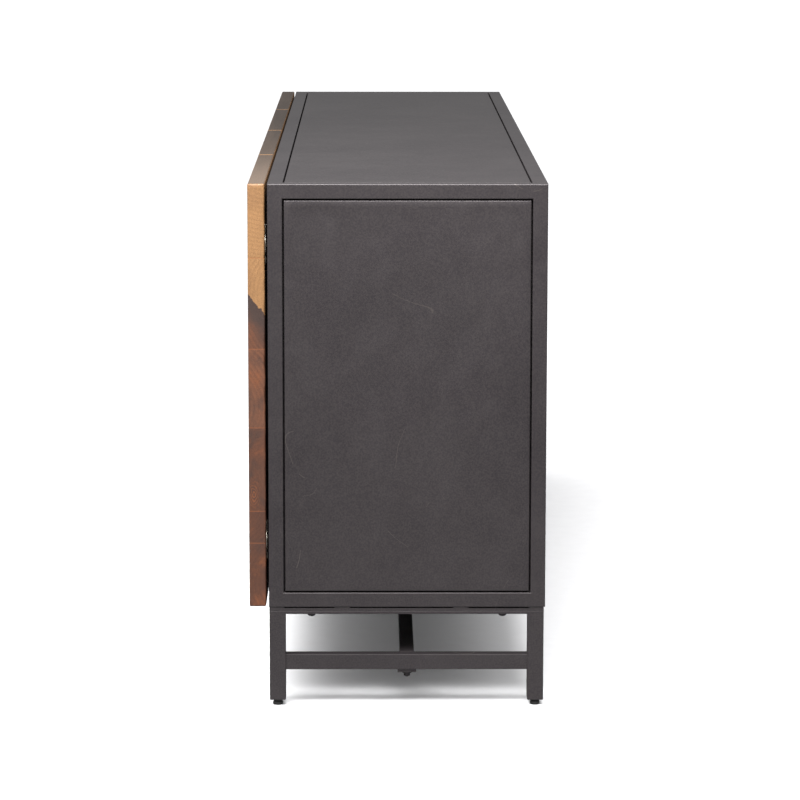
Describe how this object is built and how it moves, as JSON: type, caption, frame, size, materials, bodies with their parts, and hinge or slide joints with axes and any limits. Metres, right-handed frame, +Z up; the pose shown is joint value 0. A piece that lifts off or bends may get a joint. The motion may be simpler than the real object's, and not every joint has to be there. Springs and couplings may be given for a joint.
{
  "type": "sideboard buffet",
  "caption": "Long low sideboard with overlay wood doors on a gunmetal tube case, inset panels and a bolted tube base with stretchers.",
  "frame": {"origin": "on the floor under the middle of the whole object, at the bottom centre of its box", "axes": "+X along the length to the right seen from the front, +Y to the back, -Y to the doors at the front, +Z up"},
  "size_m": [2.032, 0.457, 0.813],
  "materials": {
    "gunmetal": "gunmetal patina under clear lacquer, satin",
    "door_wood": "solid boards, oiled satin",
    "inside_wood": "veneered board, matt lacquer",
    "hardware_steel": "nickel plated, satin",
    "black_bolts": "black oxide",
    "black_plastic": "moulded nylon, matt"
  },
  "bodies": {
    "case": {"end_frame_left": "gunmetal", "end_frame_right": "gunmetal", "front_top_rail": "gunmetal", "front_bottom_rail": "gunmetal", "rear_top_rail": "gunmetal", "rear_bottom_rail": "gunmetal", "centre_frame": "gunmetal", "end_panel_left": "gunmetal", "end_panel_right": "gunmetal", "top_panel": "gunmetal", "bottom_panel": "gunmetal", "back_panel": "gunmetal", "long_stretcher": "gunmetal", "leg_frame_left": "gunmetal", "mount_bar_left": "gunmetal", "leg_frame_right": "gunmetal", "mount_bar_right": "gunmetal", "partition_panel": "inside_wood", "shelf_left": "inside_wood", "shelf_right": "inside_wood", "shelf_ledge_left_inner": "hardware_steel", "shelf_ledge_left_outer": "hardware_steel", "shelf_ledge_right_inner": "hardware_steel", "shelf_ledge_right_outer": "hardware_steel", "hinge_arm_1_upper": "hardware_steel", "hinge_arm_1_lower": "hardware_steel", "hinge_arm_2_upper": "hardware_steel", "hinge_arm_2_lower": "hardware_steel", "hinge_arm_3_upper": "hardware_steel", "hinge_arm_3_lower": "hardware_steel", "hinge_arm_4_upper": "hardware_steel", "hinge_arm_4_lower": "hardware_steel", "stretcher_bolt_left": "black_bolts", "stretcher_bolt_right": "black_bolts", "base_bolt_left_front": "black_bolts", "base_bolt_left_rear": "black_bolts", "base_bolt_right_front": "black_bolts", "base_bolt_right_rear": "black_bolts", "latch_left": "black_plastic", "latch_right": "black_plastic"},
    "door_1_leaf": {"door_1": "door_wood", "hinge_cup_1_upper": "hardware_steel", "hinge_cup_1_lower": "hardware_steel"},
    "door_2_leaf": {"door_2": "door_wood", "hinge_cup_2_upper": "hardware_steel", "hinge_cup_2_lower": "hardware_steel"},
    "door_3_leaf": {"door_3": "door_wood", "hinge_cup_3_upper": "hardware_steel", "hinge_cup_3_lower": "hardware_steel"},
    "door_4_leaf": {"door_4": "door_wood", "hinge_cup_4_upper": "hardware_steel", "hinge_cup_4_lower": "hardware_steel"},
    "plunger_1_rod": {"plunger_1": "black_plastic"},
    "plunger_2_rod": {"plunger_2": "black_plastic"},
    "plunger_3_rod": {"plunger_3": "black_plastic"},
    "plunger_4_rod": {"plunger_4": "black_plastic"},
    "foot_left_front_glide": {"foot_left_front": "black_plastic"},
    "foot_left_rear_glide": {"foot_left_rear": "black_plastic"},
    "foot_right_front_glide": {"foot_right_front": "black_plastic"},
    "foot_right_rear_glide": {"foot_right_rear": "black_plastic"}
  },
  "joints": [
    {"name": "door_1_swing", "type": "hinge", "parent": "case", "child": "door_1_leaf", "pos_m": [-1.016, -0.2285, 0.4855], "axis": [0, 0, -1], "range_deg": [0, 110]},
    {"name": "door_2_swing", "type": "hinge", "parent": "case", "child": "door_2_leaf", "pos_m": [-0.00125, -0.2285, 0.4855], "axis": [0, 0, 1], "range_deg": [0, 90]},
    {"name": "door_3_swing", "type": "hinge", "parent": "case", "child": "door_3_leaf", "pos_m": [0.00125, -0.2285, 0.4855], "axis": [0, 0, -1], "range_deg": [0, 90]},
    {"name": "door_4_swing", "type": "hinge", "parent": "case", "child": "door_4_leaf", "pos_m": [1.016, -0.2285, 0.4855], "axis": [0, 0, 1], "range_deg": [0, 110]},
    {"name": "plunger_1_push", "type": "slide", "parent": "case", "child": "plunger_1_rod", "axis": [0, -1, 0], "range_m": [0, 0.012]},
    {"name": "plunger_2_push", "type": "slide", "parent": "case", "child": "plunger_2_rod", "axis": [0, -1, 0], "range_m": [0, 0.012]},
    {"name": "plunger_3_push", "type": "slide", "parent": "case", "child": "plunger_3_rod", "axis": [0, -1, 0], "range_m": [0, 0.012]},
    {"name": "plunger_4_push", "type": "slide", "parent": "case", "child": "plunger_4_rod", "axis": [0, -1, 0], "range_m": [0, 0.012]},
    {"name": "foot_left_front_level", "type": "slide", "parent": "case", "child": "foot_left_front_glide", "axis": [0, 0, -1], "range_m": [0, 0.01]},
    {"name": "foot_left_rear_level", "type": "slide", "parent": "case", "child": "foot_left_rear_glide", "axis": [0, 0, -1], "range_m": [0, 0.01]},
    {"name": "foot_right_front_level", "type": "slide", "parent": "case", "child": "foot_right_front_glide", "axis": [0, 0, -1], "range_m": [0, 0.01]},
    {"name": "foot_right_rear_level", "type": "slide", "parent": "case", "child": "foot_right_rear_glide", "axis": [0, 0, -1], "range_m": [0, 0.01]}
  ],
  "couplings": [
    {"joint": "plunger_1_push", "follows": "door_1_swing", "m_per_rad": 0.00625},
    {"joint": "plunger_2_push", "follows": "door_2_swing", "m_per_rad": 0.00625},
    {"joint": "plunger_3_push", "follows": "door_3_swing", "m_per_rad": 0.00625},
    {"joint": "plunger_4_push", "follows": "door_4_swing", "m_per_rad": 0.00625}
  ]
}
